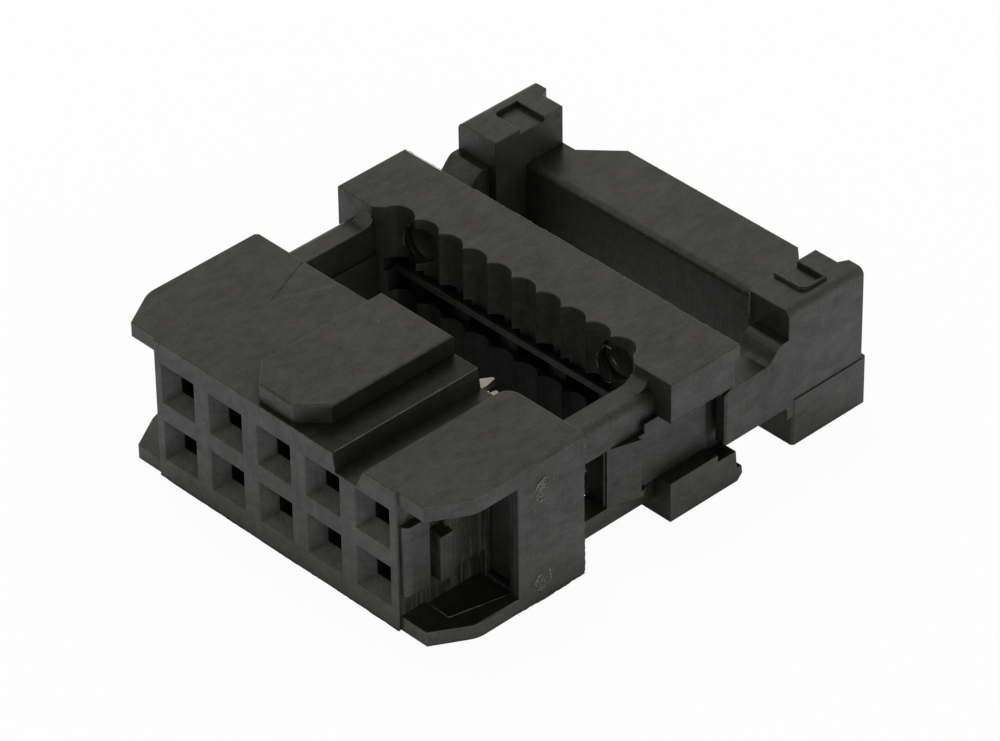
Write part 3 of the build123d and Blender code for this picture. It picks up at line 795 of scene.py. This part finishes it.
class SOCKET_OT_plastics(bpy.types.Operator):
    """Dress the housing, the cable cover and the strain relief in moulded plastic"""

    bl_idname = "socket.plastics"
    bl_label = "Dress the plastics"

    def execute(self, context):
        look = context.scene.socket_plastic
        for node_name in PLASTIC_NODES:
            sunk = look.hollow_shade
            # The housing takes the recess dust with painted light and the painted shade beside the key.
            dust_and_painted_light = 1.0 if node_name == "socket_housing" else 0.0
            wave_shade = look.wave_shade if node_name == "cable_cover" else 0.0
            name = f"plastic {node_name}"
            dress(node_name, plastic_material(name, look, sunk=sunk, dust_and_painted_light=dust_and_painted_light, wave_shade=wave_shade))
        return {"FINISHED"}


class SOCKET_OT_contacts(bpy.types.Operator):
    """Dress the contacts in tin"""

    bl_idname = "socket.contacts"
    bl_label = "Dress the contacts"

    def execute(self, context):
        tin = tin_material("tin plate", context.scene.socket_contact)
        for node_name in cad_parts:
            if node_name.startswith("contact_"):
                dress(node_name, tin)
        return {"FINISHED"}


class SOCKET_OT_gate_marks(bpy.types.Operator):
    """Add the two torn gate marks on the right end wall"""

    bl_idname = "socket.gate_marks"
    bl_label = "Add the gate marks"

    def execute(self, context):
        sizes = context.scene.socket_marks
        torn = plastic_material("torn plastic", context.scene.socket_plastic, torn=GATE_TORN)
        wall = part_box("socket_housing")[1].x
        for number, (along, up, radius, rings) in enumerate(GATES):
            centre = Vector((wall, along * MM, up * MM))
            for ring, (share, start, end, tall) in enumerate(rings):
                seed = 10 * number + ring
                path = torn_arc(centre, radius * share * MM, start, end, seed)
                name = f"gate_mark_{number + 1}_{ring + 1}"
                height = sizes.gate_height * tall
                width = sizes.gate_width
                sliver(name, path, (1, 0, 0), height, width, seed, torn, ragged=1.2, least=-0.9, step=0.035)
        return {"FINISHED"}


class SOCKET_OT_cups(bpy.types.Operator):
    """Add the torn edges of the cups, the dark strips of painted shade inside them and the painted glint in
    the right one
    """

    bl_idname = "socket.cups"
    bl_label = "Add the torn cups"

    def execute(self, context):
        sizes = context.scene.socket_marks
        look = context.scene.socket_plastic
        torn = plastic_material("burr plastic", look, torn=BURR_TORN)
        bright = plastic_material("glint plastic", look, torn=GLINT_HIGHLIGHT)
        # Painted shade: dull strips laid between the torn edges and the cups' mouths make them darker.
        dark = plastic_material("cup shade plastic", look, shine_share=CUP_SHADE_SHINE)
        out = (0, -1, 0)
        height = sizes.cup_height
        width = sizes.cup_width
        for number, path in enumerate(CUP_BURRS):
            name = f"cup_burr_{number + 1}"
            sliver(name, in_metres(path), out, height, width, number, torn, ragged=0.5, step=0.05)
        for number, (path, middle) in enumerate(zip(CUP_BURRS, CUP_MIDDLES)):
            cup_shade_strip(f"cup_shade_strip_{number + 1}", path, middle, dark)
        # Painted highlight: a pale line on the right cup's floor with a brighter middle; the faint one is of
        # burr plastic.
        lines = (
            ("cup_glint_faint", CUP_GLINT, sizes.glint_height, sizes.glint_width, torn, 0.3),
            ("cup_glint", CUP_GLINT[1:4], sizes.spark_height, sizes.spark_width, bright, 0.5),
        )
        for name, path, height, width, material, least in lines:
            path = in_metres(path)
            sliver(name, path, out, height, width, GLINT_SEED, material, ragged=0.1, least=least, step=0.05)
        return {"FINISHED"}


class SOCKET_OT_flash(bpy.types.Operator):
    """Add the slivers of flash on some edges"""

    bl_idname = "socket.flash"
    bl_label = "Add the flash"

    def execute(self, context):
        sizes = context.scene.socket_marks
        faint = plastic_material("flash and highlight plastic", context.scene.socket_plastic, torn=FLASH_AND_HIGHLIGHT_PALE)
        for number, (path, out, share) in enumerate(FLASH):
            height = sizes.flash_height * share
            sliver(f"flash_{number + 1}", in_metres(path), out, height, sizes.flash_width, number, faint)
        return {"FINISHED"}


class SOCKET_OT_rims(bpy.types.Operator):
    """Add the upstanding rim of the right pocket, shaded by a lower shine, with a pale painted highlight
    along its top, and the rib on the right block
    """

    bl_idname = "socket.rims"
    bl_label = "Add the rim and the rib"

    def execute(self, context):
        sizes = context.scene.socket_marks
        look = context.scene.socket_plastic
        faint = plastic_material("flash and highlight plastic", look, torn=FLASH_AND_HIGHLIGHT_PALE)
        # Painted shade: the rim's lower shine darkens its front face.
        shaded = plastic_material("shaded rim plastic", look, torn=RIM_TORN, shine_share=RIM_SHADE_SHINE)
        rim = pocket_rim()
        up = (0, 0, 1)
        height = sizes.rim_height
        sliver("pocket_rim", rim, up, height, sizes.rim_width, RIM_SEED, shaded, ragged=0.06, least=0.85)
        # Painted highlight: a pale line along the top of the rim.
        edge = [(x, y, z + height * RIM_HIGHLIGHT_UP) for x, y, z in rim]
        sliver("pocket_rim_highlight", edge, up, sizes.rim_highlight_height, sizes.rim_highlight_width, RIM_HIGHLIGHT_SEED, faint)
        rib = in_metres([(RIB_ACROSS, BLOCK_FRONT, level) for level in (RAMP_TOP, TOP)])
        size = sizes.rib_size
        sliver("block_rib", rib, (0, -1, 0), size, size, RIB_SEED, faint, ragged=0.06, least=0.8)
        return {"FINISHED"}


class SOCKET_OT_studio(bpy.types.Operator):
    """Set up the camera, the lamps, the floor and the white surroundings"""

    bl_idname = "socket.studio"
    bl_label = "Set up the studio"

    def execute(self, context):
        settings = context.scene.socket_studio
        self.world(settings)
        self.floor(settings)
        self.lamps(settings)
        self.camera()
        context.scene.view_settings.view_transform = "Standard"
        return {"FINISHED"}

    def seen_directly(self, tree):
        """One where the camera, a reflection or a see-through ray looks."""
        path = tree.add("ShaderNodeLightPath")
        direct = tree.math("MAXIMUM", path.outputs["Is Camera Ray"], path.outputs["Is Glossy Ray"])
        return tree.math("MAXIMUM", direct, path.outputs["Is Transmission Ray"])

    def world(self, settings):
        """Plain white where it is seen, softer where it lights."""
        world = bpy.data.worlds.new("studio")
        bpy.context.scene.world = world
        world.use_nodes = True
        world.node_tree.nodes.clear()
        tree = Tree(world.node_tree)
        strength = tree.spread(self.seen_directly(tree), 0.0, 1.0, settings.ambient, settings.white)
        glow = tree.add("ShaderNodeBackground", {"Color": (*settings.sky, 1.0), "Strength": strength})
        end = tree.add("ShaderNodeOutputWorld")
        tree.links.new(glow.outputs[0], end.inputs["Surface"])

    def floor(self, settings):
        """A pale floor under the part that keeps its shadow, with painted shade in its reflection near the
        part.
        """
        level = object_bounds()[0][2]
        turns = ((-1, -1), (1, -1), (1, 1), (-1, 1))
        corners = [(x * FLOOR_REACH, y * FLOOR_REACH, level) for x, y in turns]
        mesh = bpy.data.meshes.new("floor")
        mesh.from_pydata(corners, [], [(0, 1, 2, 3)])
        thing = bpy.data.objects.new("floor", mesh)
        bpy.context.scene.collection.objects.link(thing)
        material, tree, end = new_material("floor")
        plain = tree.add("ShaderNodeBsdfDiffuse", {"Color": (*settings.floor, 1.0)})
        glow = tree.add("ShaderNodeEmission", {"Color": (1.0, 1.0, 1.0, 1.0), "Strength": 1.0})
        # Painted shade: reflections see the floor darker near the part, by how hemmed in it is; the camera
        # sees it nearly plain white.
        near = tree.add("ShaderNodeAmbientOcclusion", {"Distance": settings.shade_reach}, samples=8)
        open_share = tree.spread(near.outputs["AO"], 0.42, 0.88)
        path = tree.add("ShaderNodeLightPath")
        by_camera = tree.math("MULTIPLY", path.outputs["Is Camera Ray"], settings.floor_glow)
        indirect = tree.math("MAXIMUM", path.outputs["Is Glossy Ray"], path.outputs["Is Transmission Ray"])
        by_mirror = tree.math("MULTIPLY", indirect, open_share)
        share = tree.math("MAXIMUM", by_camera, by_mirror)
        mixed = tree.add("ShaderNodeMixShader", {0: share, 1: plain.outputs[0], 2: glow.outputs[0]})
        tree.links.new(mixed.outputs[0], end.inputs["Surface"])
        mesh.materials.append(material)
        thing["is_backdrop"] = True

    def lamps(self, settings):
        """A large soft lamp from above the far left and a small one from the right."""
        middle = Vector(LAMP_AIM)
        plans = (
            ("key", settings.key_power, KEY_SIZE, Vector(KEY_PLACE)),
            ("fill", settings.fill_power, FILL_SIZE, Vector(FILL_PLACE)),
        )
        for name, power, size, place in plans:
            lamp = bpy.data.lights.new(name, "AREA")
            lamp.energy = power
            lamp.size = size
            thing = bpy.data.objects.new(name, lamp)
            thing.location = place
            thing.visible_glossy = False
            thing.rotation_euler = (middle - place).to_track_quat("-Z", "Y").to_euler()
            bpy.context.scene.collection.objects.link(thing)

    def camera(self):
        """The photo's own view."""
        lens = bpy.data.cameras.new("photo view")
        lens.sensor_width = SENSOR
        lens.lens = LENS
        lens.clip_start = NEAR_CLIP
        lens.clip_end = FAR_CLIP
        thing = bpy.data.objects.new("photo view", lens)
        thing.location = CAMERA_PLACE
        thing.rotation_euler = [math.radians(angle) for angle in CAMERA_TURN]
        bpy.context.scene.collection.objects.link(thing)
        bpy.context.scene.camera = thing


class SOCKET_PT_panel(bpy.types.Panel):
    """Lists every step of the socket's looks"""

    bl_label = "Ribbon cable socket"
    bl_idname = "SOCKET_PT_panel"
    bl_space_type = "VIEW_3D"
    bl_region_type = "UI"
    bl_category = "Socket"

    def draw(self, context):
        for step in STEPS:
            self.layout.operator(step.bl_idname)


GROUPS = (
    ("socket_plastic", PlasticSettings),
    ("socket_contact", ContactSettings),
    ("socket_marks", MarkSettings),
    ("socket_studio", StudioSettings),
)
STEPS = (
    SOCKET_OT_plastics,
    SOCKET_OT_contacts,
    SOCKET_OT_gate_marks,
    SOCKET_OT_cups,
    SOCKET_OT_flash,
    SOCKET_OT_rims,
    SOCKET_OT_studio,
)


def register():
    """Adds the settings, the steps and the panel."""
    for name, group in GROUPS:
        bpy.utils.register_class(group)
        setattr(bpy.types.Scene, name, bpy.props.PointerProperty(type=group))
    for step in (*STEPS, SOCKET_PT_panel):
        bpy.utils.register_class(step)


def unregister():
    """Takes them away again."""
    for step in reversed((*STEPS, SOCKET_PT_panel)):
        bpy.utils.unregister_class(step)
    for name, group in reversed(GROUPS):
        delattr(bpy.types.Scene, name)
        bpy.utils.unregister_class(group)


def main():
    """Runs every step in order."""
    register()
    bpy.ops.socket.plastics()
    bpy.ops.socket.contacts()
    bpy.ops.socket.gate_marks()
    bpy.ops.socket.cups()
    bpy.ops.socket.flash()
    bpy.ops.socket.rims()
    bpy.ops.socket.studio()


if __name__ == "__main__":
    main()
